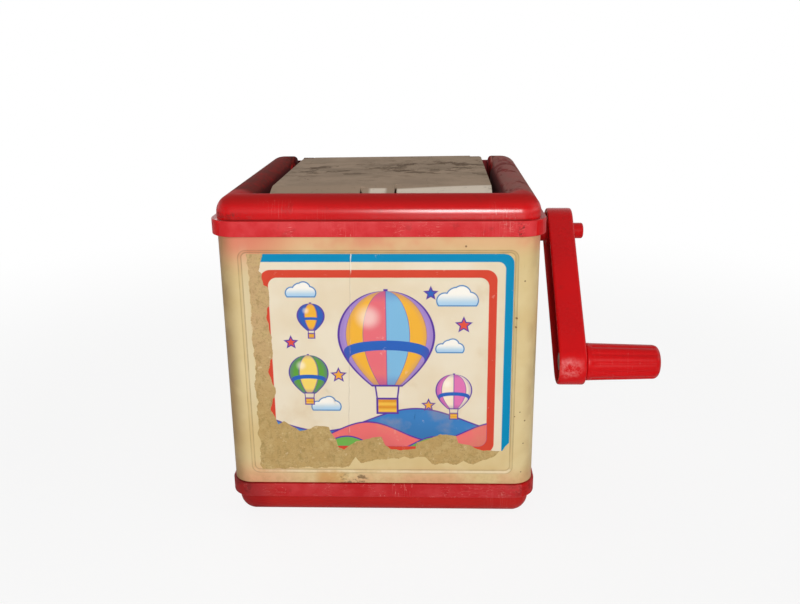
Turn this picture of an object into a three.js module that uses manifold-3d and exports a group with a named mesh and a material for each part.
import * as THREE from 'three';
import { mergeVertices } from 'three/addons/utils/BufferGeometryUtils.js';
import Module from 'manifold-3d';

// A musical jack-in-the-box. Millimetres, +Z up, the front faces -Y, and the origin is the middle of the
// underside. The crank is on the right, at +X.

// Fits and counts
const fit = 0.3;
const past = 1;
const weldTolerance = 0.0001;
const cornerSteps = 3;
const roundSides = 18;
const pinSides = 10;
const screwSides = 8;
const fluteSteps = 4;
const waveSteps = 4;
const quarter = Math.PI / 2;

// Bottom tray
const base = {
  beltProud: 1.1,
  height: 16.9,
  beltHeight: 6.4,
  beltStep: 0.3,
  footInset: 2.5,
  footRadius: 8,
  wall: 2.4,
  floor: 2.4,
  seatDepth: 4.7,
};

// Square case
const body = {
  half: 67.8,
  wall: 2.2,
  cornerRadius: 9,
  shownHeight: 113.8,
  spigotInset: 1.4,
  spigotWall: 2,
  spigotRise: 2,
};

// Recessed panel in each side of the case, and the label in it
const panel = {
  sideMargin: 9.4,
  topMargin: 5.9,
  bottomMargin: 5.1,
  recess: 1,
  bevel: 1.3,
  cornerRadius: 3.5,
};
const label = {
  sideMargin: 2.4,
  topMargin: 1.8,
  bottomMargin: 1.5,
  thickness: 0.3,
  glue: 0.1,
  cornerRadius: 4.2,
};

// Top frame
const frame = {
  beltProud: 2.2,
  beltHeight: 6.7,
  beltBevel: 0.5,
  rollWidth: 15.4,
  rollStep: 2.1,
  rollHeight: 7.5,
  skirtDepth: 3.3,
  shell: 2,
  rimWall: 2.4,
  rimDrop: 3,
};

// Lid and its hinge
const lid = {
  sideGap: 3.9,
  thickness: 2.2,
  topDrop: 1,
  frontGap: 1.4,
  slopeLength: 16,
  slopeDrop: 6.5,
  cornerRadius: 9,
  skirtDepth: 2,
  skirtWall: 1.8,
  headRoom: 0.3,
};
const hinge = {
  barrelRadius: 2.4,
  pinRadius: 1.2,
  rimGap: 1,
  barrelInset: 5.8,
  knuckleLength: 6,
  webDepth: 2.6,
};
const slit = { width: 0.9, leftX: -8.7, rightX: 6.4, leftLength: 15, rightLength: 18, hook: 2.4 };
const toe = { sideGap: 2.7, thickness: 2, reach: 2.5, stem: 2.3, frontGap: 0.7, drop: 17.8 };

// Crank
const crank = {
  drop: 12.4,
  shaftRadius: 3.8,
  journalRadius: 2.5,
  pinLength: 6,
  pinEdge: 0.6,
  throwLength: 72.7,
  lean: 49.6,
  wallToArm: 9.8,
};
const arm = {
  thickness: 12,
  hubRadius: 11,
  endRadius: 10.2,
  wall: 2,
  face: 2.4,
  edge: 1.2,
  bossRadius: 6.8,
  reachRadius: 5,
  seatRadius: 6,
};
const grip = {
  reach: 32.7,
  armRadius: 8.35,
  endRadius: 7.5,
  fluteDepth: 0.7,
  flutes: 12,
  rounding: 2,
  pinRadius: 3,
  boreDepth: 28,
};
const bush = { barrelWall: 1.3, flangeRadius: 7.5, flangeThickness: 1.4, bossRadius: 8.4 };

// Musical movement, stacked along X from the right wall inwards
const teeth = {
  module: 1,
  pinion: 12,
  idler: 30,
  idlerPinion: 12,
  drum: 36,
  tipShare: 0.75,
  rootShare: 1.1,
  tipHalfShare: 0.12,
  rootHalfShare: 0.25,
};
const movement = {
  plate: 1.5,
  depth: 22.5,
  wall: 2,
  clearance: 1.5,
  gearWidth: 2.5,
  gearGap: 0.5,
  axleRadius: 1.5,
  idlerLean: -45,
  drumLean: -135,
  earLength: 8,
  earWidth: 9,
  earThickness: 2.4,
  bossLength: 4.6,
  bossRadius: 3.6,
};
const drum = { radius: 10, pinHeight: 0.7, pinWidth: 0.6, tracks: 9, pinsPerTrack: 3, trackTurns: 4 };
const comb = { thickness: 1, slotWidth: 0.35, rootLength: 9.5, ledgeDepth: 8, clampThickness: 2 };
const cam = { baseRadius: 8.6, lobeRadius: 13, width: 3, lobeAngle: 200, lobeSpread: 26 };
const clip = { width: 0.8, wall: 1.6 };

// Latch rocker behind the front wall
const rocker = {
  wallGap: 5.6,
  drop: 42.7,
  shaftRadius: 2.5,
  fingerThickness: 3,
  fingerWidth: 6,
  hookThickness: 2,
  hookGap: 2,
  tailThickness: 3,
  tailOverhang: 3,
  tailLift: 0.5,
  lugThickness: 3,
  lugHeight: 12,
  lugLeftX: 8,
  lugRightX: 36,
};
const latchSpring = { clearance: 0.9, wireRadius: 0.4, turns: 5, pitch: 1.7, lugGap: 9 };

// Fasteners
const headShare = 0.7;
const screw = { headRadius: 3, headHeight: 1.8, slotWidth: 0.8, slotDepth: 0.7, shankRadius: 1.5 };
const smallScrew = { headRadius: 1.7, headHeight: 1.1, slotWidth: 0.5, slotDepth: 0.5, shankRadius: 0.8 };
const post = { inset: 17.8, radius: 4.2, rib: 2.4, height: 20, foot: 5.4, sink: 4, screwBite: 12 };
const corner = { radius: 6.8, shelf: 2.4, bossRadius: 3.6, gapToRoll: 4.2, screwBite: 8 };

// Jack and its spring
const seat = {
  radius: 27,
  thickness: 2.5,
  spigotHeight: 5,
  bossRadius: 3.6,
  bossHeight: 5.6,
  ringWall: 2.4,
  ringHeight: 3,
};
const spring = { meanRadius: 16, wireRadius: 1.1, turns: 11, spigotGap: 1.4 };
const coilSteps = 8;
const coilSides = 5;
const platform = { inset: 5, thickness: 2.5, plugHeight: 4, stubRadius: 10.8, stubRise: 1.5 };
const torso = { inset: 2, height: 21.2, neckRadius: 14.5, cloth: 2.4, hem: 2.2 };
const collar = { sideGap: 5, thickness: 1.8, wave: 1.8, waves: 12 };
const head = {
  radiusShare: 0.695,
  wall: 2.4,
  noseShare: 0.168,
  earShare: 0.208,
  earDepthShare: 0.5,
  arcSteps: 8,
};
const cap = { wall: 2.2, brimAngle: 17, brimRadius: 2.6, pompomRadius: 4.3 };
// Radii and places of the arms and hands, as shares of the shoulders' radius. Each drop is a share of
// their height.
const sleeve = {
  shoulderShare: 0.22,
  cuffShare: 0.182,
  sideShare: 0.735,
  cuffSideShare: 0.55,
  shoulderOutShare: 0.38,
  cuffOutShare: 1.07,
  dropShare: 0.42,
};
const hand = { radiusShare: 0.188, lengthShare: 0.95, thumbShare: 0.07 };
const costume = { folds: 5, cloth: 1.4, flare: 1 };

// Heights and planes that follow from the sizes above
const frameBottom = base.height + body.shownHeight;
const frameTop = frameBottom + frame.beltHeight + frame.rollStep + frame.rollHeight;
const frameUnderside = frameBottom + frame.skirtDepth;
const wallInner = body.half - body.wall;
const baseBeltHalf = body.half + base.beltProud;
const frameBeltHalf = body.half + frame.beltProud;
const openingHalf = body.half - frame.rollWidth;
const rollMiddle = body.half - frame.rollWidth / 2;
const postReach = body.half - post.inset;
const panelBottom = base.height + panel.bottomMargin;
const panelTop = frameBottom - panel.topMargin;
const panelHalf = body.half - panel.sideMargin;
const panelFace = body.half - panel.recess;
const labelBottom = panelBottom + label.bottomMargin;
const labelHeight = panelTop - label.topMargin - labelBottom;
const labelHalf = panelHalf - label.sideMargin;
const lidTop = frameTop - lid.topDrop;
const lidHalf = openingHalf - lid.sideGap;
const lidFront = -(openingHalf - lid.frontGap);
const barrelHalf = lidHalf - hinge.barrelInset;
const knuckleEnd = barrelHalf + fit + hinge.knuckleLength;
const rimInner = body.half - frame.rimWall;
const hingeY = rimInner - hinge.rimGap - hinge.barrelRadius;
const hingeZ = lidTop - hinge.barrelRadius;
const crankZ = frameBottom - crank.drop;
const armInner = body.half + crank.wallToArm;
const armOuter = armInner + arm.thickness;
const plateInner = wallInner - fit - movement.plate;
const housingOuter = plateInner - fit;
const housingInner = housingOuter - movement.depth;
const housingFloor = housingInner + movement.wall;
const firstGearHigh = plateInner - fit - movement.gearGap;
const firstGearLow = firstGearHigh - movement.gearWidth;
const secondGearHigh = firstGearLow - movement.gearGap;
const secondGearLow = secondGearHigh - movement.gearWidth;
const camLow = housingFloor + 2 * fit;
const camHigh = camLow + cam.width;

// Shafts of the movement in the YZ plane
const pitchRadius = (count) => (teeth.module * count) / 2;
const tipRadius = (count) => pitchRadius(count) + teeth.module * teeth.tipShare;
const degrees = (angle) => (angle * Math.PI) / 180;
const crankAxis = { y: 0, z: crankZ };
const firstMesh = pitchRadius(teeth.pinion) + pitchRadius(teeth.idler);
const secondMesh = pitchRadius(teeth.idlerPinion) + pitchRadius(teeth.drum);
const idlerAxis = polar(crankAxis, firstMesh, degrees(movement.idlerLean));
const drumAxis = polar(idlerAxis, secondMesh, degrees(movement.drumLean));
const housingBox = {
  yLow: drumAxis.y - tipRadius(teeth.drum) - movement.clearance - movement.wall,
  yHigh: idlerAxis.y + tipRadius(teeth.idler) + movement.clearance + movement.wall,
  zLow: drumAxis.z - tipRadius(teeth.drum) - movement.clearance - movement.wall,
  zHigh: crankAxis.z + tipRadius(teeth.pinion) + movement.clearance + movement.wall,
};

// Rocker's pivot, and the slope of its tail over the cam
const rockerAxis = { y: -(wallInner - rocker.wallGap), z: frameBottom - rocker.drop };
const rockerToDrum = Math.hypot(drumAxis.y - rockerAxis.y, drumAxis.z - rockerAxis.z);
const tailOffset = cam.lobeRadius + rocker.tailLift + rocker.tailThickness / 2;
const tailSlope = towards(rockerAxis, drumAxis) + Math.asin(tailOffset / rockerToDrum);
const tailLength = rockerToDrum * Math.cos(Math.asin(tailOffset / rockerToDrum)) + rocker.tailOverhang;
const latchX = (slit.leftX + slit.rightX) / 2;
const toeHalf = (slit.rightX - slit.leftX) / 2 - toe.sideGap;
const latchSpringStart = rocker.lugLeftX + rocker.lugThickness + latchSpring.lugGap;
const toeFront = lidFront + toe.frontGap;
const toeTop = lidTop - toe.drop + toe.thickness;
const hookZ = toeTop + toe.thickness / 2 + fit;

// Heights of the jack, down from the shut lid, and its seat, up from the tray's floor. The spring fills
// what is left between the two.
const seatBottom = base.floor + seat.bossHeight + fit;
const seatTop = seatBottom + seat.thickness;
const springInner = spring.meanRadius - spring.wireRadius;
const plugRadius = springInner - spring.spigotGap;
const seatScrewReach = (spring.meanRadius + spring.wireRadius + seat.radius) / 2;
const collarRadius = housingInner - collar.sideGap;
const torsoRadius = collarRadius - torso.inset;
const headRadius = collarRadius * head.radiusShare;
const noseRadius = headRadius * head.noseShare;
const earRadius = headRadius * head.earShare;
const handRadius = torsoRadius * hand.radiusShare;
const ringOuter = seat.radius + fit + seat.ringWall;
const pompomCentre = lidTop - lid.thickness - lid.headRoom - cap.pompomRadius;
const headCentre = pompomCentre - cap.pompomRadius - fit - cap.wall - fit - headRadius;
const neckOpening = platform.stubRadius + fit;
const headBottom = headCentre - Math.sqrt(headRadius ** 2 - neckOpening ** 2);
const collarZ = headBottom - fit - collar.wave - collar.thickness;
const torsoTop = collarZ - collar.wave - fit;
const torsoBottom = torsoTop - torso.height;
const platformBottom = torsoBottom + torso.hem;
const springTop = platformBottom - fit - spring.wireRadius;
const springBottom = seatTop + fit + spring.wireRadius;
const costumeBottom = seatBottom + seat.ringHeight + fit;
const costumeTop = torsoBottom - fit;

function polar(centre, distance, angle) {
  return { y: centre.y + distance * Math.cos(angle), z: centre.z + distance * Math.sin(angle) };
}

function towards(from, to) {
  return Math.atan2(to.z - from.z, to.y - from.y);
}

// Mesh helpers

// Welds a geometry's vertices, drops faces that have no area and points the faces outwards.
function tidy(geometry) {
  const bare = geometry.index ? geometry.clone() : mergeVertices(onlyPositions(geometry), weldTolerance);
  const welded = mergeVertices(onlyPositions(bare), weldTolerance);
  const kept = [];
  const source = welded.index.array;
  for (let i = 0; i < source.length; i += 3) {
    const [a, b, c] = [source[i], source[i + 1], source[i + 2]];
    if (a !== b && b !== c && c !== a) kept.push(a, b, c);
  }
  if (signedVolume(welded.attributes.position, kept) < 0) kept.reverse();
  welded.setIndex(kept);
  return welded;
}

function onlyPositions(geometry) {
  const bare = geometry.clone();
  for (const name of Object.keys(bare.attributes)) if (name !== 'position') bare.deleteAttribute(name);
  return bare;
}

function signedVolume(position, index) {
  const [a, b, c] = [new THREE.Vector3(), new THREE.Vector3(), new THREE.Vector3()];
  let sum = 0;
  for (let i = 0; i < index.length; i += 3) {
    a.fromBufferAttribute(position, index[i]);
    b.fromBufferAttribute(position, index[i + 1]);
    c.fromBufferAttribute(position, index[i + 2]);
    sum += a.dot(b.cross(c));
  }
  return sum;
}

const wasm = await Module();
wasm.setup();

function toSolid(geometry) {
  const clean = tidy(geometry);
  return new wasm.Manifold(
    new wasm.Mesh({
      numProp: 3,
      vertProperties: new Float32Array(clean.attributes.position.array),
      triVerts: new Uint32Array(clean.index.array),
    }),
  );
}

function fromSolid(solid) {
  const mesh = solid.getMesh();
  const geometry = new THREE.BufferGeometry();
  geometry.setAttribute('position', new THREE.BufferAttribute(new Float32Array(mesh.vertProperties), 3));
  geometry.setIndex(Array.from(mesh.triVerts));
  return geometry;
}

const join = (...pieces) => fromSolid(pieces.map(toSolid).reduce((sum, piece) => sum.add(piece)));
const cut = (piece, ...tools) =>
  fromSolid(tools.map(toSolid).reduce((rest, tool) => rest.subtract(tool), toSolid(piece)));
const common = (a, b) => fromSolid(toSolid(a).intersect(toSolid(b)));

// Skins a list of rings that have the same number of points. The ends are closed by fans, or the last
// ring joins the first one.
function skin(rings, loops = false) {
  const count = rings[0].length;
  const points = rings.flat(2);
  const index = [];
  const last = loops ? rings.length : rings.length - 1;
  for (let i = 0; i < last; i += 1) {
    for (let j = 0; j < count; j += 1) {
      const next = (j + 1) % count;
      const [low, high] = [i * count, ((i + 1) % rings.length) * count];
      index.push(low + j, low + next, high + next, low + j, high + next, high + j);
    }
  }
  if (!loops) closeEnds(rings, points, index);
  const geometry = new THREE.BufferGeometry();
  geometry.setAttribute('position', new THREE.BufferAttribute(new Float32Array(points), 3));
  geometry.setIndex(index);
  return tidy(geometry);
}

function closeEnds(rings, points, index) {
  const count = rings[0].length;
  const starts = [0, (rings.length - 1) * count];
  for (const [end, ring] of [rings[0], rings[rings.length - 1]].entries()) {
    const middle = [0, 1, 2].map((axis) => ring.reduce((sum, point) => sum + point[axis], 0) / count);
    const hub = points.length / 3;
    points.push(...middle);
    for (let j = 0; j < count; j += 1) {
      const [a, b] = [starts[end] + j, starts[end] + ((j + 1) % count)];
      if (end === 0) index.push(hub, b, a);
      else index.push(hub, a, b);
    }
  }
}

// Points of a rectangle with round corners, anticlockwise.
function roundedRing(halfX, halfY, radius, z) {
  const points = [];
  for (const [turn, [sideX, sideY]] of [[1, 1], [-1, 1], [-1, -1], [1, -1]].entries()) {
    for (let i = 0; i <= cornerSteps; i += 1) {
      const angle = (turn + i / cornerSteps) * quarter;
      points.push([
        sideX * (halfX - radius) + radius * Math.cos(angle),
        sideY * (halfY - radius) + radius * Math.sin(angle),
        z,
      ]);
    }
  }
  return points;
}

// Carries a closed profile of [half width, height] points round a square with round corners. A corner's
// radius shrinks with the half width.
function squareLathe(profile) {
  const rings = profile.map(([half, z]) => {
    const radius = Math.max(body.cornerRadius - (body.half - half), body.wall / 2);
    return roundedRing(half, half, Math.min(radius, half), z);
  });
  return skin(rings, true);
}

// Turns a profile of [radius, height] points about the Z axis.
function lathe(profile, sides = roundSides) {
  const geometry = new THREE.LatheGeometry(profile.map(([radius, z]) => new THREE.Vector2(radius, z)), sides);
  return tidy(geometry.rotateX(quarter));
}

function block(low, high) {
  const size = high.map((value, axis) => value - low[axis]);
  const middle = high.map((value, axis) => (value + low[axis]) / 2);
  return new THREE.BoxGeometry(...size).translate(...middle);
}

function rodZ(radius, low, high, x = 0, y = 0, sides = pinSides) {
  const rod = new THREE.CylinderGeometry(radius, radius, high - low, sides).rotateX(quarter);
  return rod.translate(x, y, (low + high) / 2);
}

function rodX(radius, low, high, y = 0, z = 0, sides = pinSides) {
  const rod = new THREE.CylinderGeometry(radius, radius, high - low, sides).rotateZ(-quarter);
  return rod.translate((low + high) / 2, y, z);
}

// Stands a shape drawn in YZ along X: its x runs along Y, its y along Z and its depth along X.
function alongX(geometry, x = 0, y = 0, z = 0) {
  const turn = new THREE.Matrix4().makeBasis(
    new THREE.Vector3(0, 1, 0),
    new THREE.Vector3(0, 0, 1),
    new THREE.Vector3(1, 0, 0),
  );
  return geometry.applyMatrix4(turn).translate(x, y, z);
}

// Turns a piece made about Z to stand about X on an axis of the YZ plane.
function standX(geometry, axis) {
  return alongX(geometry, 0, axis.y, axis.z);
}

// A block between two planes of X, the first of which may be the higher one.
function blockX([a, b], [yLow, zLow], [yHigh, zHigh]) {
  return block([Math.min(a, b), yLow, zLow], [Math.max(a, b), yHigh, zHigh]);
}

function extrude(shape, depth) {
  return new THREE.ExtrudeGeometry(shape, { depth, bevelEnabled: false, curveSegments: pinSides });
}

function outline(points) {
  return new THREE.Shape(points.map(([x, y]) => new THREE.Vector2(x, y)));
}

function hole(radius, x = 0, y = 0) {
  return new THREE.Path().absarc(x, y, radius, 0, 2 * Math.PI, true);
}

// Points of an arc of an ellipse, from one angle to another, both in quarters of a turn.
function arc(centre, radii, from, to, steps) {
  return Array.from({ length: steps + 1 }, (_, i) => {
    const angle = (from + ((to - from) * i) / steps) * quarter;
    return [centre[0] + radii[0] * Math.cos(angle), centre[1] + radii[1] * Math.sin(angle)];
  });
}

// Turns a piece made for the front side to side 0 front, 1 right, 2 back or 3 left.
const toSide = (geometry, side) => geometry.rotateZ(side * quarter);
const cornerSigns = [[-1, -1], [1, -1], [1, 1], [-1, 1]];

// Case

function baseTray() {
  const foot = baseBeltHalf - base.footInset;
  const beltBottom = base.height - base.beltHeight;
  const seatZ = base.height - base.seatDepth;
  const seatHalf = body.half - body.spigotInset + fit;
  const innerHalf = foot - base.wall;
  const innerRadius = base.footRadius - base.floor;
  const tray = squareLathe([
    [0, 0],
    ...arc([foot - base.footRadius, base.footRadius], [base.footRadius, base.footRadius], -1, 0, cornerSteps),
    [foot, beltBottom - base.beltStep],
    [baseBeltHalf, beltBottom],
    [baseBeltHalf, base.height],
    [seatHalf, base.height],
    [seatHalf, seatZ],
    [innerHalf, seatZ],
    ...arc([innerHalf - innerRadius, base.footRadius], [innerRadius, innerRadius], 0, -1, cornerSteps),
    [0, base.floor],
  ]);
  const places = cornerSigns.map(([x, y]) => [x * postReach, y * postReach]);
  const posts = places.map(([x, y]) => rodZ(post.foot, base.floor / 2, seatZ, x, y));
  const holes = places.flatMap(([x, y]) => [
    rodZ(screw.shankRadius + fit, -past, seatZ + past, x, y),
    rodZ(screw.headRadius + fit, -past, post.sink, x, y),
  ]);
  const seatLow = base.floor + seat.bossHeight;
  const seats = [-1, 1].map((x) => rodZ(seat.bossRadius, base.floor / 2, seatLow, x * seatScrewReach));
  const bores = [-1, 1].map((x) =>
    rodZ(screw.shankRadius + fit, base.floor, seatLow + past, x * seatScrewReach),
  );
  return cut(join(tray, ...posts, ...seats), ...holes, ...bores);
}

function bodyShell() {
  const top = frameUnderside - fit;
  const low = base.height + fit;
  const spigotHalf = body.half - body.spigotInset;
  const spigotLow = base.height - base.seatDepth + fit;
  const spigotInner = spigotHalf - body.spigotWall;
  const tube = squareLathe([
    [body.half, low],
    [body.half, top],
    [wallInner, top],
    [wallInner, low + 2 * body.spigotRise],
    [spigotInner, low + body.spigotRise],
    [spigotInner, spigotLow],
    [spigotHalf, spigotLow],
    [spigotHalf, low],
  ]);
  const padLow = wallInner + body.wall / 4;
  const pad = rodX(bush.bossRadius, padLow, body.half, crankAxis.y, crankAxis.z, roundSides);
  const recessed = cut(tube, ...[0, 1, 2, 3].map(panelCutter));
  const shaftHole = rodX(bushRadius + fit, wallInner - past, body.half + past, crankAxis.y, crankAxis.z);
  return cut(
    join(recessed, pad, ...cornerPosts(), ...cornerShelves(), ...movementBosses(), ...rockerLugs()),
    shaftHole,
    ...cornerSigns.map(([x, y]) => postBore(x, y)),
    ...cornerSigns.map(([x, y]) => shelfBore(x, y)),
    ...movementScrewPlaces().map(([y, z]) =>
      rodX(smallScrew.shankRadius + fit, wallInner - movement.bossLength - past, wallInner, y, z),
    ),
    rodX(rocker.shaftRadius + fit, 0, wallInner - body.cornerRadius, rockerAxis.y, rockerAxis.z),
  );
}

// A recess with sloped edges, made for the front and turned to its side.
function panelCutter(side) {
  const halfHeight = (panelTop - panelBottom) / 2;
  const slope = panel.bevel / panel.recess;
  const ring = (spread, depth) =>
    roundedRing(panelHalf + spread, halfHeight + spread, panel.cornerRadius + spread, depth);
  const cutter = skin([ring(-panel.bevel, panelFace), ring(past * slope, body.half + past)]);
  return toSide(cutter.rotateX(quarter).translate(0, 0, panelBottom + halfHeight), side);
}

// Posts that take the screws of the tray, each tied to two walls by ribs.
function cornerPosts() {
  const spigotLow = base.height - base.seatDepth + fit;
  const ribLow = base.height + 2 * fit + 2 * body.spigotRise;
  const high = spigotLow + post.height;
  return cornerSigns.map(([x, y]) => {
    const [atX, atY] = [x * postReach, y * postReach];
    const rod = rodZ(post.radius, spigotLow, high, atX, atY);
    const length = post.inset - body.wall / 2;
    const acrossX = block([0, -post.rib / 2, ribLow], [length, post.rib / 2, high]);
    const acrossY = block([-post.rib / 2, 0, ribLow], [post.rib / 2, length, high]);
    const placedX = acrossX.rotateZ(x > 0 ? 0 : 2 * quarter).translate(atX, atY, 0);
    const placedY = acrossY.rotateZ(y > 0 ? 0 : 2 * quarter).translate(atX, atY, 0);
    return join(rod, placedX, placedY);
  });
}

function postBore(x, y) {
  const low = base.height - base.seatDepth;
  return rodZ(screw.shankRadius + fit, low - past, low + post.screwBite + past, x * postReach, y * postReach);
}

// Shelves in the top corners, which the screws of the top frame pass through.
function cornerShelves() {
  const high = frameBottom - corner.gapToRoll / 2;
  const low = high - corner.shelf;
  return cornerSigns.map(([x, y]) => rodZ(corner.radius, low, high, x * rollMiddle, y * rollMiddle));
}

function shelfBore(x, y) {
  const low = frameBottom - 2 * corner.gapToRoll;
  return rodZ(screw.shankRadius + fit, low, frameBottom, x * rollMiddle, y * rollMiddle);
}

function movementScrewPlaces() {
  const inset = movement.earWidth / 2;
  const out = movement.earLength - movement.bossRadius - fit;
  return [
    [housingBox.yLow - out, housingBox.zLow + inset],
    [housingBox.yLow - out, housingBox.zHigh - inset],
    [housingBox.yHigh + out, housingBox.zLow + inset],
    [housingBox.yHigh + out, housingBox.zHigh - inset],
  ];
}

function movementBosses() {
  return movementScrewPlaces().map(([y, z]) =>
    rodX(movement.bossRadius, wallInner - movement.bossLength, wallInner + body.wall / 4, y, z),
  );
}

// Two lugs on the front wall that carry the rocker's shaft.
function rockerLugs() {
  const back = rockerAxis.y + rocker.shaftRadius + 2 * fit + body.wall / 2;
  const halfHeight = rocker.lugHeight / 2;
  return [rocker.lugLeftX, rocker.lugRightX].map((x) =>
    block(
      [x, -(wallInner + body.wall / 4), rockerAxis.z - halfHeight],
      [x + rocker.lugThickness, back, rockerAxis.z + halfHeight],
    ),
  );
}

function topFrame() {
  const rollLow = frameTop - frame.rollHeight;
  const beltTop = frameBottom + frame.beltHeight;
  const rollHalf = frame.rollWidth / 2;
  const skirtHalf = body.half + fit;
  const ring = squareLathe([
    [frameBeltHalf, frameBottom],
    [frameBeltHalf, beltTop - frame.beltBevel],
    [frameBeltHalf - frame.beltBevel, beltTop],
    [body.half, beltTop],
    ...arc([rollMiddle, rollLow], [rollHalf, frame.rollHeight], 0, 2, 2 * cornerSteps),
    [openingHalf, frameUnderside],
    [skirtHalf, frameUnderside],
    [skirtHalf, frameBottom],
  ]);
  const hollowRadii = [rollHalf - frame.shell, frame.rollHeight - frame.shell];
  const hollow = squareLathe([
    [rollMiddle + hollowRadii[0], frameUnderside - past],
    ...arc([rollMiddle, rollLow], hollowRadii, 0, 2, cornerSteps),
    [rollMiddle - hollowRadii[0], frameUnderside - past],
  ]);
  const endPlates = [-1, 1].map((x) =>
    blockX(
      [x * openingHalf, x * (openingHalf + frame.shell)],
      [openingHalf, frameUnderside - past],
      [rimInner + past, frameTop],
    ),
  );
  const bossLow = frameBottom - corner.gapToRoll / 2 + fit;
  const bosses = cornerSigns.map(([x, y]) =>
    rodZ(corner.bossRadius, bossLow, frameTop - frame.shell / 2, x * rollMiddle, y * rollMiddle),
  );
  const back = block([-openingHalf, 0, frameBottom], [openingHalf, rimInner, frameTop + past]);
  const rim = block(
    [-openingHalf, rimInner - past, frameTop - frame.rimDrop],
    [openingHalf, frameBeltHalf + past, frameTop + past],
  );
  const bores = cornerSigns.map(([x, y]) =>
    rodZ(screw.shankRadius + fit, frameBottom - corner.gapToRoll, rollLow, x * rollMiddle, y * rollMiddle),
  );
  const shell = cut(ring, cut(hollow, ...endPlates), back, rim);
  return cut(join(shell, ...bosses, ...knuckles()), ...bores, hingeBore());
}

function knuckles() {
  return [-1, 1].map((x) => {
    const ends = [x * (barrelHalf + fit), x * knuckleEnd];
    const barrel = rodX(hinge.barrelRadius, Math.min(...ends), Math.max(...ends), hingeY, hingeZ);
    const webLow = hingeZ - hinge.barrelRadius;
    const web = blockX(ends, [hingeY, webLow], [rimInner + frame.rimWall / 3, webLow + hinge.webDepth]);
    return join(barrel, web);
  });
}

function hingeBore() {
  return rodX(hinge.pinRadius + fit, -knuckleEnd - past, knuckleEnd + past, hingeY, hingeZ);
}

function hingePin() {
  return rodX(hinge.pinRadius, -knuckleEnd, knuckleEnd, hingeY, hingeZ);
}

// Lid

const slopeBack = lidFront + lid.slopeLength;

function lidPanel() {
  const barrel = rodX(hinge.barrelRadius, -barrelHalf, barrelHalf, hingeY, hingeZ);
  const notches = [-1, 1].map((x) =>
    blockX(
      [x * barrelHalf, x * (lidHalf + past)],
      [hingeY - hinge.barrelRadius - fit, hingeZ - lid.thickness - hinge.barrelRadius],
      [hingeY + hinge.barrelRadius + past, frameTop + past],
    ),
  );
  const skirts = [-1, 1].map((x) =>
    blockX(
      [x * lidHalf, x * (lidHalf - lid.skirtWall)],
      [slopeBack, lidTop - lid.thickness - lid.skirtDepth],
      [hingeY - lid.cornerRadius, lidTop - lid.thickness / 2],
    ),
  );
  return cut(join(cut(lidSheet(), ...notches), barrel, ...skirts, latchToe()), ...slits(), hingeBore());
}

// A level sheet that slopes down to the front, with round corners at the back.
function lidSheet() {
  const bend = slopeBack - lid.slopeLength / 4;
  const bendZ = lidTop - lid.slopeDrop / 5;
  const slab = [
    [lidFront, lidTop - lid.slopeDrop],
    [lidFront + lid.thickness / 3, lidTop - lid.slopeDrop + lid.thickness / 3],
    [bend, bendZ],
    [slopeBack, lidTop],
    [hingeY, lidTop],
    [hingeY, lidTop - lid.thickness],
    [slopeBack, lidTop - lid.thickness],
    [bend, bendZ - lid.thickness],
    [lidFront, lidTop - lid.slopeDrop - lid.thickness],
  ];
  const halfDepth = (hingeY + hinge.barrelRadius - lidFront) / 2;
  const ring = (z) => roundedRing(lidHalf, halfDepth, lid.cornerRadius, z);
  const plan = skin([ring(frameBottom), ring(frameTop + past)]).translate(0, lidFront + halfDepth, 0);
  const square = block([-lidHalf, lidFront, frameBottom], [lidHalf, slopeBack, frameTop + past]);
  return common(alongX(extrude(outline(slab), 2 * lidHalf), -lidHalf), join(plan, square));
}

// A stem under the tongue with a toe that points to the front.
function latchToe() {
  const low = lidTop - toe.drop;
  const stemFront = toeFront + toe.reach;
  const stem = block(
    [latchX - toeHalf, stemFront, low],
    [latchX + toeHalf, stemFront + toe.stem, lidTop - lid.slopeDrop + lid.thickness / 3],
  );
  const plate = block([latchX - toeHalf, toeFront, low], [latchX + toeHalf, stemFront + toe.stem, toeTop]);
  return join(stem, plate);
}

// Two slits, each with a short hook to the right at its inner end.
function slits() {
  const low = lidTop - lid.slopeDrop - lid.thickness - past;
  return [
    [slit.leftX, slit.leftLength],
    [slit.rightX, slit.rightLength],
  ].flatMap(([x, length]) => {
    const end = lidFront + length;
    return [
      block([x - slit.width / 2, lidFront - past, low], [x + slit.width / 2, end, frameTop]),
      block([x - slit.width / 2, end - slit.width, low], [x + slit.hook, end, frameTop]),
    ];
  });
}

// Labels

// The torn outline of the front label, as shares of its half width and of its height from the foot.
const tornShares = [
  [1, 0.06],
  [0.9, 0.08],
  [0.74, 0.055],
  [0.66, 0.13],
  [0.48, 0.1],
  [0.3, 0.07],
  [0.1, 0.09],
  [-0.08, 0.17],
  [-0.3, 0.1],
  [-0.46, 0.085],
  [-0.52, 0.22],
  [-0.66, 0.25],
  [-0.78, 0.2],
  [-0.93, 0.24],
  [-0.9, 0.5],
  [-0.94, 0.75],
  [-0.92, 0.96],
  [-0.9, 1],
];

function labelFront() {
  const radius = label.cornerRadius;
  const topRight = arc([labelHalf - radius, labelHeight - radius], [radius, radius], 1, 0, cornerSteps);
  const torn = tornShares.map(([x, y]) => [x * labelHalf, y * labelHeight]);
  const sheet = extrude(outline([...topRight, ...torn]), label.thickness).rotateX(quarter);
  return sheet.translate(0, -(panelFace + label.glue), labelBottom);
}

function labelWhole(side) {
  const ring = (depth) => roundedRing(labelHalf, labelHeight / 2, label.cornerRadius, depth);
  const sheet = skin([ring(0), ring(label.thickness)]).rotateX(quarter);
  return toSide(sheet.translate(0, -(panelFace + label.glue), labelBottom + labelHeight / 2), side);
}

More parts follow.
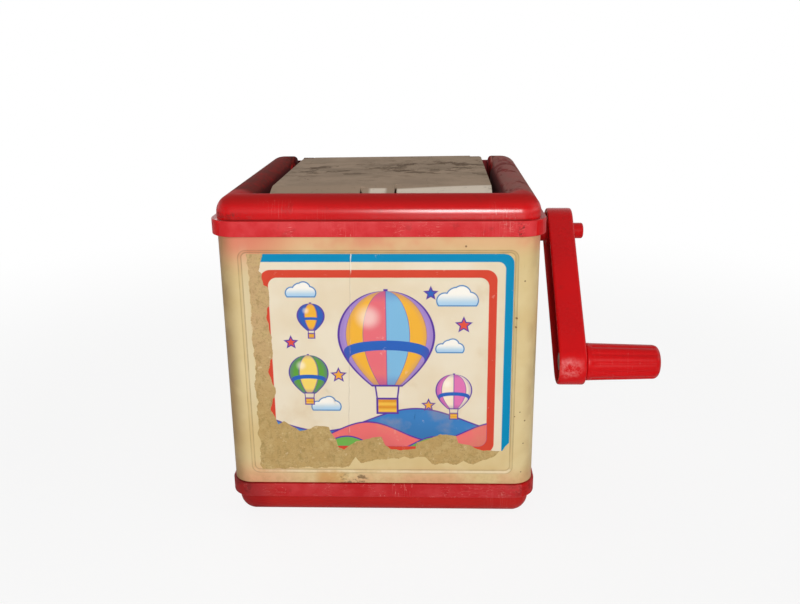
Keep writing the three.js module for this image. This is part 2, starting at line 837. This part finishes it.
function labelRight() {
  const hole = rodX(bush.bossRadius + fit, wallInner, body.half + past, crankAxis.y, crankAxis.z, roundSides);
  return cut(labelWhole(1), hole);
}

// Crank

const bushRadius = crank.shaftRadius + fit + bush.barrelWall;

function crankBush() {
  const flangeLow = body.half + fit;
  const bore = crank.shaftRadius + fit;
  const profile = [
    [bore, housingOuter],
    [bushRadius, housingOuter],
    [bushRadius, flangeLow],
    [bush.flangeRadius, flangeLow],
    [bush.flangeRadius, flangeLow + bush.flangeThickness],
    [bore, flangeLow + bush.flangeThickness],
    [bore, housingOuter],
  ];
  return standX(lathe(profile, pinSides), crankAxis);
}

function crankShaft() {
  const step = housingOuter - fit;
  const end = armOuter + crank.pinLength;
  const round = crank.pinEdge;
  const profile = [
    [0, housingInner + fit],
    [crank.journalRadius, housingInner + fit],
    [crank.journalRadius, step],
    [crank.shaftRadius, step],
    [crank.shaftRadius, end - round],
    [crank.shaftRadius - round, end],
    [0, end],
  ];
  return standX(lathe(profile, pinSides), crankAxis);
}

// The arm leans forward from hanging straight down.
const gripAxis = polar(crankAxis, crank.throwLength, -quarter - degrees(crank.lean));

// A ring round two circles and the lines that touch both, shrunk by an inset.
function armRing(inset, x) {
  const along = towards(crankAxis, gripAxis);
  const tilt = Math.acos((arm.hubRadius - arm.endRadius) / crank.throwLength);
  const bow = (centre, radius, from, to) =>
    Array.from({ length: roundSides / 2 + 1 }, (_, i) => {
      const angle = along + from + ((to - from) * 2 * i) / roundSides;
      const point = polar(centre, radius - inset, angle);
      return [x, point.y, point.z];
    });
  return [
    ...bow(crankAxis, arm.hubRadius, tilt, 4 * quarter - tilt),
    ...bow(gripAxis, arm.endRadius, -tilt, tilt),
  ];
}

function crankArm() {
  const outer = skin([armRing(0, armInner), armRing(0, armOuter - arm.edge), armRing(arm.edge, armOuter)]);
  const hollow = skin([armRing(arm.wall, armInner - past), armRing(arm.wall, armOuter - arm.face)]);
  const bossLow = body.half + fit + bush.flangeThickness + fit;
  const boss = rodX(arm.reachRadius, bossLow, armInner + arm.thickness / 2, crankAxis.y, crankAxis.z);
  const hub = rodX(arm.bossRadius, armInner, armOuter - arm.face / 2, crankAxis.y, crankAxis.z);
  const endBoss = rodX(arm.seatRadius, armInner + arm.face, armOuter - arm.face / 2, gripAxis.y, gripAxis.z);
  return cut(
    join(cut(outer, hollow), boss, hub, endBoss),
    rodX(crank.shaftRadius + fit, bossLow - past, armOuter + past, crankAxis.y, crankAxis.z),
    rodX(grip.pinRadius + fit, armInner, armOuter + past, gripAxis.y, gripAxis.z),
  );
}

function gripPin() {
  const low = armInner + arm.face - fit;
  const headRadius = grip.pinRadius + arm.wall / 2;
  const headHeight = arm.wall / 2;
  const profile = [
    [0, low - headHeight],
    [headRadius, low - headHeight],
    [headRadius, low],
    [grip.pinRadius, low],
    [grip.pinRadius, armOuter + grip.boreDepth - fit],
    [0, armOuter + grip.boreDepth - fit],
  ];
  return standX(lathe(profile, pinSides), gripAxis);
}

function crankGrip() {
  const low = armOuter + fit;
  const count = grip.flutes * fluteSteps;
  const ring = (x, radius, depth) =>
    Array.from({ length: count }, (_, i) => {
      const angle = (i / count) * 4 * quarter;
      const r = radius - (depth * (1 - Math.cos(angle * grip.flutes))) / 2;
      return [r * Math.cos(angle), r * Math.sin(angle), x];
    });
  const round = grip.rounding;
  const rings = [
    ring(low, grip.armRadius - round / 4, 0),
    ring(low + round / 2, grip.armRadius, 0),
    ring(low + round, grip.armRadius, grip.fluteDepth),
    ring(low + grip.reach - round, grip.endRadius, grip.fluteDepth),
    ring(low + grip.reach - round / 3, grip.endRadius - round / 2, grip.fluteDepth / 2),
    ring(low + grip.reach, grip.endRadius - (3 * round) / 2, 0),
  ];
  const bore = rodZ(grip.pinRadius + fit, low - past, armOuter + grip.boreDepth);
  return standX(cut(skin(rings), bore), gripAxis);
}

// Movement

// A gear's outline. The first tooth points along the phase angle.
function gearOutline(count, phase) {
  const step = (4 * quarter) / count;
  const root = pitchRadius(count) - teeth.module * teeth.rootShare;
  const tip = tipRadius(count);
  const corners = [
    [-teeth.rootHalfShare, root],
    [-teeth.tipHalfShare, tip],
    [teeth.tipHalfShare, tip],
    [teeth.rootHalfShare, root],
  ];
  const points = [];
  for (let i = 0; i < count; i += 1) {
    for (const [share, radius] of corners) {
      const angle = phase + (i + share) * step;
      points.push([radius * Math.cos(angle), radius * Math.sin(angle)]);
    }
  }
  return outline(points);
}

function gear(count, phase, low, high, boreRadius, axis) {
  const shape = gearOutline(count, phase);
  shape.holes.push(hole(boreRadius));
  return alongX(extrude(shape, high - low), low, axis.y, axis.z);
}

const halfTooth = (count) => (2 * quarter) / count;

function drivePinion() {
  const phase = towards(crankAxis, idlerAxis);
  return gear(teeth.pinion, phase, firstGearLow, firstGearHigh, crank.journalRadius + fit, crankAxis);
}

function idlerGear() {
  const bore = movement.axleRadius + fit;
  const wheelPhase = towards(idlerAxis, crankAxis) + halfTooth(teeth.idler);
  const wheel = gear(teeth.idler, wheelPhase, firstGearLow, firstGearHigh, bore, idlerAxis);
  const small = gear(
    teeth.idlerPinion,
    towards(idlerAxis, drumAxis),
    secondGearLow,
    firstGearLow + movement.gearGap,
    bore,
    idlerAxis,
  );
  return join(wheel, small);
}

function drumGear() {
  const phase = towards(drumAxis, idlerAxis) + halfTooth(teeth.drum);
  return gear(teeth.drum, phase, secondGearLow, secondGearHigh, movement.axleRadius + fit, drumAxis);
}

const drumLow = camHigh + 2 * fit;
const drumHigh = secondGearLow - fit;

function musicDrum() {
  const barrel = rodX(drum.radius, drumLow, drumHigh, 0, 0, roundSides);
  const half = drum.pinWidth / 2;
  const step = (4 * quarter) / (drum.tracks * drum.pinsPerTrack);
  const pins = [];
  for (let track = 0; track < drum.tracks; track += 1) {
    const x = trackX(track);
    const first = (track * drum.trackTurns) % drum.tracks;
    for (let i = 0; i < drum.pinsPerTrack; i += 1) {
      const pin = block([x - half, 0, -half], [x + half, drum.radius + drum.pinHeight, half]);
      pins.push(pin.rotateX((first + i * drum.tracks) * step));
    }
  }
  const bore = rodX(movement.axleRadius + fit, drumLow - past, drumHigh + past);
  return cut(join(barrel, ...pins), bore).translate(0, drumAxis.y, drumAxis.z);
}

function trackX(track) {
  const pitch = (drumHigh - drumLow) / drum.tracks;
  return drumLow + (track + 1 / 2) * pitch;
}

function releaseCam() {
  const [middle, spread] = [degrees(cam.lobeAngle), degrees(cam.lobeSpread)];
  const points = Array.from({ length: roundSides * 2 }, (_, i) => {
    const angle = (i / (roundSides * 2)) * 4 * quarter;
    const away = Math.abs(Math.atan2(Math.sin(angle - middle), Math.cos(angle - middle)));
    const rise = Math.max(0, 1 - away / spread);
    const radius = cam.baseRadius + (cam.lobeRadius - cam.baseRadius) * rise;
    return [radius * Math.cos(angle), radius * Math.sin(angle)];
  });
  const shape = outline(points);
  shape.holes.push(hole(movement.axleRadius + fit));
  return alongX(extrude(shape, camHigh - camLow), camLow, drumAxis.y, drumAxis.z);
}

function axle(axis) {
  return rodX(movement.axleRadius, housingInner + fit, wallInner - 2 * fit, axis.y, axis.z);
}

function crankClip() {
  const inner = crank.journalRadius + fit;
  const high = firstGearLow - fit;
  const profile = [
    [inner, high - clip.width],
    [inner + clip.wall, high - clip.width],
    [inner + clip.wall, high],
    [inner, high],
    [inner, high - clip.width],
  ];
  return standX(lathe(profile, pinSides), crankAxis);
}

const ledge = {
  yLow: housingBox.yHigh - movement.wall - comb.rootLength,
  zHigh: drumAxis.z - comb.thickness / 2 - fit,
};

function movementHousing() {
  const { yLow, yHigh, zLow, zHigh } = housingBox;
  const wall = movement.wall;
  const outer = block([housingInner, yLow, zLow], [housingOuter, yHigh, zHigh]);
  const inner = block(
    [housingFloor, yLow + wall, zLow + wall],
    [housingOuter + past, yHigh - wall, zHigh - wall],
  );
  const earHigh = wallInner - movement.bossLength - fit;
  const ears = movementScrewPlaces().map(([y, z]) => {
    const half = movement.earWidth / 2;
    const from = y < 0 ? yLow - movement.earLength : yHigh - wall;
    const to = y < 0 ? yLow + wall : yHigh + movement.earLength;
    return block([earHigh - movement.earThickness, from, z - half], [earHigh, to, z + half]);
  });
  const combLedge = block(
    [housingFloor - wall / 2, ledge.yLow, ledge.zHigh - comb.ledgeDepth],
    [drumHigh, yHigh - wall / 2, ledge.zHigh],
  );
  const screwHole = smallScrew.shankRadius + fit;
  return cut(
    join(cut(outer, inner), ...ears, combLedge),
    ...movementScrewPlaces().map(([y, z]) => rodX(screwHole, housingFloor, housingOuter, y, z)),
    rodX(crank.journalRadius + fit, housingInner - past, housingFloor + past, crankAxis.y, crankAxis.z),
    ...[idlerAxis, drumAxis].map((axis) =>
      rodX(movement.axleRadius + fit, housingInner - past, housingFloor + past, axis.y, axis.z),
    ),
    ...combScrewPlaces().map(([x, y]) =>
      rodZ(screwHole, ledge.zHigh - comb.ledgeDepth / 2 - fit, ledge.zHigh + past, x, y),
    ),
    tailSlot(),
  );
}

// The slot in the housing's front wall that the rocker's tail passes through.
function tailSlot() {
  const y = housingBox.yLow;
  const z = rockerAxis.z + (y - rockerAxis.y) * Math.tan(tailSlope);
  const swing = rocker.tailThickness + cam.lobeRadius - cam.baseRadius;
  const high = camHigh + 2 * fit;
  return block([housingFloor, y - past, z - swing], [high, y + movement.wall + past, z + swing / 2]);
}

function movementPlate() {
  const { yLow, yHigh, zLow, zHigh } = housingBox;
  const sheet = block([plateInner, yLow, zLow], [plateInner + movement.plate, yHigh, zHigh]);
  const axleHole = movement.axleRadius + fit;
  return cut(
    sheet,
    rodX(bushRadius + fit, plateInner - past, wallInner, crankAxis.y, crankAxis.z),
    ...[idlerAxis, drumAxis].map((axis) => rodX(axleHole, plateInner - past, wallInner, axis.y, axis.z)),
  );
}

function combScrewPlaces() {
  const quarterWidth = (drumHigh - drumLow) / 4;
  const y = ledge.yLow + comb.rootLength / 2;
  return [[drumLow + quarterWidth, y], [drumHigh - quarterWidth, y]];
}

function combPlate() {
  const tip = drumAxis.y + drum.radius + drum.pinHeight + fit;
  const back = housingBox.yHigh - movement.wall - fit;
  const toothHalf = ((drumHigh - drumLow) / drum.tracks - comb.slotWidth) / 2;
  const points = [[drumLow + fit / 2, back]];
  for (let track = 0; track < drum.tracks; track += 1) {
    const [low, high] = [trackX(track) - toothHalf, trackX(track) + toothHalf];
    points.push([low, ledge.yLow], [low, tip], [high, tip], [high, ledge.yLow]);
  }
  points.push([drumHigh - fit / 2, back]);
  const shape = outline(points);
  for (const [x, y] of combScrewPlaces()) shape.holes.push(hole(smallScrew.shankRadius + fit, x, y));
  return extrude(shape, comb.thickness).translate(0, 0, drumAxis.z - comb.thickness / 2);
}

function combClamp() {
  const low = drumAxis.z + comb.thickness / 2 + fit;
  const high = low + comb.clampThickness;
  const bar = block(
    [drumLow + fit, ledge.yLow + fit, low],
    [drumHigh - fit, housingBox.yHigh - movement.wall - fit, high],
  );
  const screwHole = smallScrew.shankRadius + fit;
  return cut(bar, ...combScrewPlaces().map(([x, y]) => rodZ(screwHole, low - past, high + past, x, y)));
}

// Latch

function latchRocker() {
  const [low, high] = [latchX - rocker.fingerWidth / 2, latchX + rocker.fingerWidth / 2];
  const shaft = rodX(rocker.shaftRadius, low, camHigh, rockerAxis.y, rockerAxis.z);
  const front = rockerAxis.y - rocker.fingerThickness / 2;
  const hookTop = hookZ + rocker.hookThickness;
  const finger = block([low, front, rockerAxis.z], [high, front + rocker.fingerThickness, hookTop]);
  const hook = block([low, front, hookZ], [high, toeFront - rocker.hookGap, hookTop]);
  const tailHalf = rocker.tailThickness / 2;
  const tail = block([camLow, 0, -tailHalf], [camHigh, tailLength, tailHalf]).rotateX(tailSlope);
  return join(shaft, finger, hook, tail.translate(0, rockerAxis.y, rockerAxis.z));
}

// A coil as one tube: the centre line climbs at a steady rate.
function coil(meanRadius, wireRadius, turns, pitch, name) {
  const steps = turns * coilSteps;
  const centres = Array.from({ length: steps + 1 }, (_, i) => {
    const angle = (i / coilSteps) * 4 * quarter;
    return [meanRadius * Math.cos(angle), meanRadius * Math.sin(angle), (pitch * i) / coilSteps];
  });
  const slope = Math.atan2(pitch, 4 * quarter * meanRadius);
  const rings = centres.map(([x, y, z], i) => {
    const angle = (i / coilSteps) * 4 * quarter;
    return Array.from({ length: coilSides }, (_, side) => {
      const turn = (side / coilSides) * 4 * quarter;
      const [out, up] = [wireRadius * Math.cos(turn), wireRadius * Math.sin(turn)];
      return [
        x + out * Math.cos(angle) + up * Math.sin(slope) * Math.sin(angle),
        y + out * Math.sin(angle) - up * Math.sin(slope) * Math.cos(angle),
        z + up * Math.cos(slope),
      ];
    });
  });
  console.log(`${name}: least gap to itself ${leastGap(centres, wireRadius).toFixed(2)} mm`);
  return skin(rings);
}

function leastGap(centres, wireRadius) {
  let least = Infinity;
  for (let i = 0; i < centres.length; i += 1) {
    for (let j = i + coilSteps / 2; j < centres.length; j += 1) {
      least = Math.min(least, Math.hypot(...centres[i].map((value, axis) => value - centres[j][axis])));
    }
  }
  return least - 2 * wireRadius;
}

function latchSpringCoil() {
  const { clearance, wireRadius, turns, pitch } = latchSpring;
  const wound = coil(rocker.shaftRadius + clearance + wireRadius, wireRadius, turns, pitch, 'latch_spring');
  return standX(wound, rockerAxis).translate(latchSpringStart, 0, 0);
}

// Fasteners

// A slotted screw along Z with the underside of its head at 0 and its shank below.
function makeScrew(size, length) {
  const { headRadius, headHeight, shankRadius } = size;
  const profile = [
    [0, -length],
    [shankRadius / 2, -length],
    [shankRadius, shankRadius - length],
    [shankRadius, 0],
    [headRadius, 0],
    [headRadius, headHeight / 2],
    [headRadius * headShare, headHeight],
    [0, headHeight],
  ];
  const half = size.slotWidth / 2;
  const slotLow = headHeight - size.slotDepth;
  const slot = block([-headRadius, -half, slotLow], [headRadius, half, headHeight + past]);
  return cut(lathe(profile, screwSides), slot);
}

function baseScrew([x, y]) {
  const length = base.height - base.seatDepth + post.screwBite - post.sink - fit;
  const upright = makeScrew(screw, length).rotateX(2 * quarter);
  return upright.translate(x * postReach, y * postReach, post.sink - fit);
}

function frameScrew([x, y]) {
  const shelfLow = frameBottom - corner.gapToRoll / 2 - corner.shelf - fit;
  const upright = makeScrew(screw, corner.shelf + corner.screwBite).rotateX(2 * quarter);
  return upright.translate(x * rollMiddle, y * rollMiddle, shelfLow);
}

function movementScrew([y, z]) {
  const earLow = wallInner - movement.bossLength - fit - movement.earThickness;
  const length = movement.earThickness + fit + movement.bossLength - fit;
  return makeScrew(smallScrew, length).rotateY(-quarter).translate(earLow - fit, y, z);
}

function combScrew([x, y]) {
  const head = drumAxis.z + comb.thickness / 2 + fit + comb.clampThickness + fit;
  const length = head - ledge.zHigh + comb.ledgeDepth / 2 - fit;
  return makeScrew(smallScrew, length).translate(x, y, head);
}

// Jack

function springSeat() {
  const disc = lathe([
    [0, seatBottom],
    [seat.radius, seatBottom],
    [seat.radius, seatTop],
    [plugRadius, seatTop],
    [plugRadius - fit, seatTop + seat.spigotHeight],
    [0, seatTop + seat.spigotHeight],
  ]);
  const holes = [-1, 1].map((x) =>
    rodZ(screw.shankRadius + fit, seatBottom - past, seatTop + past, x * seatScrewReach),
  );
  return cut(disc, ...holes);
}

function seatScrew(x) {
  return makeScrew(screw, seatTop - base.floor).translate(x * seatScrewReach, 0, seatTop + fit);
}

function costumeRing() {
  const inner = seat.radius + fit;
  const high = seatBottom + seat.ringHeight;
  const section = [[inner, seatBottom], [ringOuter, seatBottom], [ringOuter, high], [inner, high]];
  return lathe([...section, section[0]]);
}

function jackSpring() {
  const pitch = (springTop - springBottom) / spring.turns;
  const wound = coil(spring.meanRadius, spring.wireRadius, spring.turns, pitch, 'jack_spring');
  return wound.translate(0, 0, springBottom);
}

// A cloth sleeve with level folds, open at both ends.
function jackCostume() {
  const rows = 2 * costume.folds;
  const outer = Array.from({ length: rows + 1 }, (_, i) => {
    const radius = i % 2 === 0 ? ringOuter + fit : torsoRadius + costume.flare;
    return [radius, costumeBottom + ((costumeTop - costumeBottom) * i) / rows];
  });
  const inner = outer.map(([radius, z]) => [radius - costume.cloth, z]).reverse();
  return lathe([...outer, ...inner, outer[0]]);
}

function jackPlatform() {
  const radius = torsoRadius - platform.inset;
  const top = platformBottom + platform.thickness;
  const stubTop = headBottom + platform.stubRise;
  return lathe([
    [0, platformBottom - platform.plugHeight],
    [plugRadius, platformBottom - platform.plugHeight],
    [plugRadius, platformBottom],
    [radius, platformBottom],
    [radius, top],
    [platform.stubRadius, top],
    [platform.stubRadius, stubTop],
    [0, stubTop],
  ]);
}

// The shoulders' outline from the hem to the neck, as shares of the radius and of the height.
const shoulderShares = [
  [1, 0],
  [1, 0.16],
  [0.92, 0.48],
  [0.7, 0.8],
];

function shoulderProfile(offset) {
  const outer = shoulderShares.map(([r, z]) => [torsoRadius * r + offset, torsoBottom + torso.height * z]);
  return [...outer, [torso.neckRadius + offset, torsoTop]];
}

function jackTorso() {
  const outer = shoulderProfile(0);
  const inner = shoulderProfile(-torso.cloth)
    .map(([radius, z], i) => [Math.max(radius, neckOpening), i === 0 ? z : z - torso.cloth / 2])
    .reverse();
  const rim = [neckOpening, torsoTop];
  return lathe([...outer, rim, ...inner, outer[0]]);
}

function torsoSpace() {
  const profile = shoulderProfile(fit);
  return lathe([[0, torsoBottom - past], [profile[0][0], torsoBottom - past], ...profile, [0, torsoTop]]);
}

function jackCollar() {
  const sides = collar.waves * waveSteps;
  const inner = neckOpening + fit;
  const middle = (inner + collarRadius) / 2;
  const rings = Array.from({ length: sides }, (_, i) => {
    const angle = (i / sides) * 4 * quarter;
    const lift = collar.wave * Math.cos(angle * collar.waves);
    const at = (radius, z) => [radius * Math.cos(angle), radius * Math.sin(angle), z];
    return [
      at(inner, collarZ),
      at(middle, collarZ + lift / 2),
      at(collarRadius, collarZ + lift),
      at(collarRadius, collarZ + lift + collar.thickness / 2),
      at(middle, collarZ + lift / 2 + collar.thickness),
      at(inner, collarZ + collar.thickness),
    ];
  });
  return skin(rings, true);
}

// A round head of even wall, open at the neck, with a small nose and two ears.
function jackHead() {
  const open = (radius) => Math.asin(neckOpening / radius) / quarter;
  const inner = headRadius - head.wall;
  const outerArc = arc([0, headCentre], [headRadius, headRadius], -1 + open(headRadius), 1, head.arcSteps);
  const innerArc = arc([0, headCentre], [inner, inner], 1, -1 + open(inner), head.arcSteps / 2);
  const onAxis = (points) => points.map(([r, z]) => [Math.max(r, 0), z]);
  const skull = lathe(onAxis([...outerArc, ...innerArc, outerArc[0]]));
  const faceZ = headCentre - noseRadius / 2;
  const nose = new THREE.SphereGeometry(noseRadius, pinSides, pinSides / 2);
  nose.translate(0, -(headRadius + noseRadius / 3), faceZ);
  const ears = [-1, 1].map((x) => {
    const ear = new THREE.SphereGeometry(earRadius, pinSides, pinSides / 2).scale(head.earDepthShare, 1, 1);
    return ear.translate(x * (headRadius + earRadius * head.earDepthShare ** 2), 0, faceZ);
  });
  const hollow = new THREE.SphereGeometry(inner, roundSides, head.arcSteps).translate(0, 0, headCentre);
  const trims = [nose, ...ears].map((piece) => cut(piece, hollow));
  return join(skull, ...trims);
}

// A close cap with a rolled brim, and a round tuft on top.
function jackCap() {
  const inner = headRadius + fit;
  const outer = inner + cap.wall;
  const start = degrees(cap.brimAngle) / quarter;
  const innerArc = arc([0, headCentre], [inner, inner], 1, start, head.arcSteps / 2);
  const outerArc = arc([0, headCentre], [outer, outer], start, 1, head.arcSteps / 2);
  const brim = [inner + cap.brimRadius + cap.wall / 2, innerArc[innerArc.length - 1][1] + cap.wall / 2];
  const profile = [...innerArc, [brim[0] - cap.wall / 2, brim[1] - cap.wall], brim, ...outerArc];
  return lathe(profile.map(([r, z]) => [Math.max(r, 0), z]));
}

function capPompom() {
  const ball = new THREE.SphereGeometry(cap.pompomRadius, pinSides, pinSides / 2);
  return ball.rotateX(quarter).translate(0, 0, pompomCentre);
}

function shoulderPoint(x) {
  const [side, out] = [torsoRadius * sleeve.sideShare, torsoRadius * sleeve.shoulderOutShare];
  return new THREE.Vector3(x * side, -out, torsoTop - torso.height * sleeve.dropShare);
}

function cuffPoint(x) {
  const [side, out] = [torsoRadius * sleeve.cuffSideShare, torsoRadius * sleeve.cuffOutShare];
  return new THREE.Vector3(x * side, -out, torsoTop - 2 * torso.height * sleeve.dropShare);
}

// A tapered tube with round ends from the shoulder to the cuff, cut by the shoulders.
function jackArm(x) {
  const [from, to] = [shoulderPoint(x), cuffPoint(x)];
  const length = from.distanceTo(to);
  const [shoulderRadius, cuffRadius] = [torsoRadius * sleeve.shoulderShare, torsoRadius * sleeve.cuffShare];
  const profile = [
    [0, -shoulderRadius],
    [shoulderRadius * headShare, -shoulderRadius * headShare],
    [shoulderRadius, 0],
    [cuffRadius, length],
    [0, length],
  ];
  const tube = lathe(profile, pinSides);
  const turn = new THREE.Quaternion().setFromUnitVectors(
    new THREE.Vector3(0, 0, 1),
    to.clone().sub(from).normalize(),
  );
  return cut(tube.applyQuaternion(turn).translate(...from.toArray()), torsoSpace());
}

function jackHand(x) {
  const along = cuffPoint(x).sub(shoulderPoint(x)).normalize();
  const centre = cuffPoint(x).addScaledVector(along, fit + handRadius * hand.lengthShare);
  const palm = new THREE.SphereGeometry(handRadius, pinSides, pinSides / 2).scale(1, 1, hand.lengthShare);
  const turn = new THREE.Quaternion().setFromUnitVectors(new THREE.Vector3(0, 0, 1), along);
  const thumbRadius = torsoRadius * hand.thumbShare;
  const thumb = new THREE.SphereGeometry(thumbRadius, screwSides, pinSides / 2);
  thumb.translate(-x * handRadius, 0, thumbRadius);
  return join(palm, thumb).applyQuaternion(turn).translate(...centre.toArray());
}

// The whole assembly

const finish = (color, roughness, metalness = 0) =>
  new THREE.MeshStandardMaterial({ color, roughness, metalness });
const finishes = {
  red: finish(0xc41a20, 0.35),
  cream: finish(0xdcc896, 0.45),
  lid: finish(0xa79b8a, 0.55),
  paper: finish(0xebe1cd, 0.6),
  steel: finish(0xb8b8bc, 0.35, 1),
  brass: finish(0xc8a24a, 0.35, 1),
  white: finish(0xe8e6df, 0.45),
  blueCloth: finish(0x2b6cb0, 0.9),
  yellowCloth: finish(0xe8b23a, 0.9),
  redCloth: finish(0xc9343a, 0.9),
  vinyl: finish(0xf0c9a6, 0.5),
};

const pieces = [
  ['base_tray', baseTray(), finishes.red],
  ['body_shell', bodyShell(), finishes.cream],
  ['top_frame', topFrame(), finishes.red],
  ['label_front', labelFront(), finishes.paper],
  ['label_right', labelRight(), finishes.paper],
  ['label_back', labelWhole(2), finishes.paper],
  ['label_left', labelWhole(3), finishes.paper],
  ['hinge_pin', hingePin(), finishes.steel],
  ['lid', lidPanel(), finishes.lid],
  ['crank_bush', crankBush(), finishes.white],
  ['crank_shaft', crankShaft(), finishes.red],
  ['crank_clip', crankClip(), finishes.steel],
  ['crank_arm', crankArm(), finishes.red],
  ['grip_pin', gripPin(), finishes.steel],
  ['crank_grip', crankGrip(), finishes.red],
  ['movement_plate', movementPlate(), finishes.steel],
  ['movement_housing', movementHousing(), finishes.white],
  ['drive_pinion', drivePinion(), finishes.white],
  ['idler_gear', idlerGear(), finishes.white],
  ['idler_axle', axle(idlerAxis), finishes.steel],
  ['drum_gear', drumGear(), finishes.white],
  ['drum_axle', axle(drumAxis), finishes.steel],
  ['music_drum', musicDrum(), finishes.brass],
  ['release_cam', releaseCam(), finishes.white],
  ['comb', combPlate(), finishes.steel],
  ['comb_clamp', combClamp(), finishes.brass],
  ['latch_rocker', latchRocker(), finishes.white],
  ['latch_spring', latchSpringCoil(), finishes.steel],
  ['spring_seat', springSeat(), finishes.white],
  ['costume_ring', costumeRing(), finishes.white],
  ['jack_spring', jackSpring(), finishes.steel],
  ['jack_costume', jackCostume(), finishes.blueCloth],
  ['jack_platform', jackPlatform(), finishes.white],
  ['jack_torso', jackTorso(), finishes.redCloth],
  ['jack_collar', jackCollar(), finishes.yellowCloth],
  ['jack_head', jackHead(), finishes.vinyl],
  ['jack_cap', jackCap(), finishes.blueCloth],
  ['cap_pompom', capPompom(), finishes.yellowCloth],
  ['jack_arm_left', jackArm(-1), finishes.redCloth],
  ['jack_arm_right', jackArm(1), finishes.redCloth],
  ['jack_hand_left', jackHand(-1), finishes.vinyl],
  ['jack_hand_right', jackHand(1), finishes.vinyl],
  ...[-1, 1].map((x, i) => [`seat_screw_${i + 1}`, seatScrew(x), finishes.steel]),
  ...cornerSigns.map((place, i) => [`base_screw_${i + 1}`, baseScrew(place), finishes.steel]),
  ...cornerSigns.map((place, i) => [`frame_screw_${i + 1}`, frameScrew(place), finishes.steel]),
  ...movementScrewPlaces().map((at, i) => [`movement_screw_${i + 1}`, movementScrew(at), finishes.steel]),
  ...combScrewPlaces().map((place, i) => [`comb_screw_${i + 1}`, combScrew(place), finishes.steel]),
];

const jackInTheBox = new THREE.Group();
for (const [name, geometry, material] of pieces) {
  const mesh = new THREE.Mesh(tidy(geometry), material);
  mesh.name = name;
  jackInTheBox.add(mesh);
}

export default jackInTheBox;
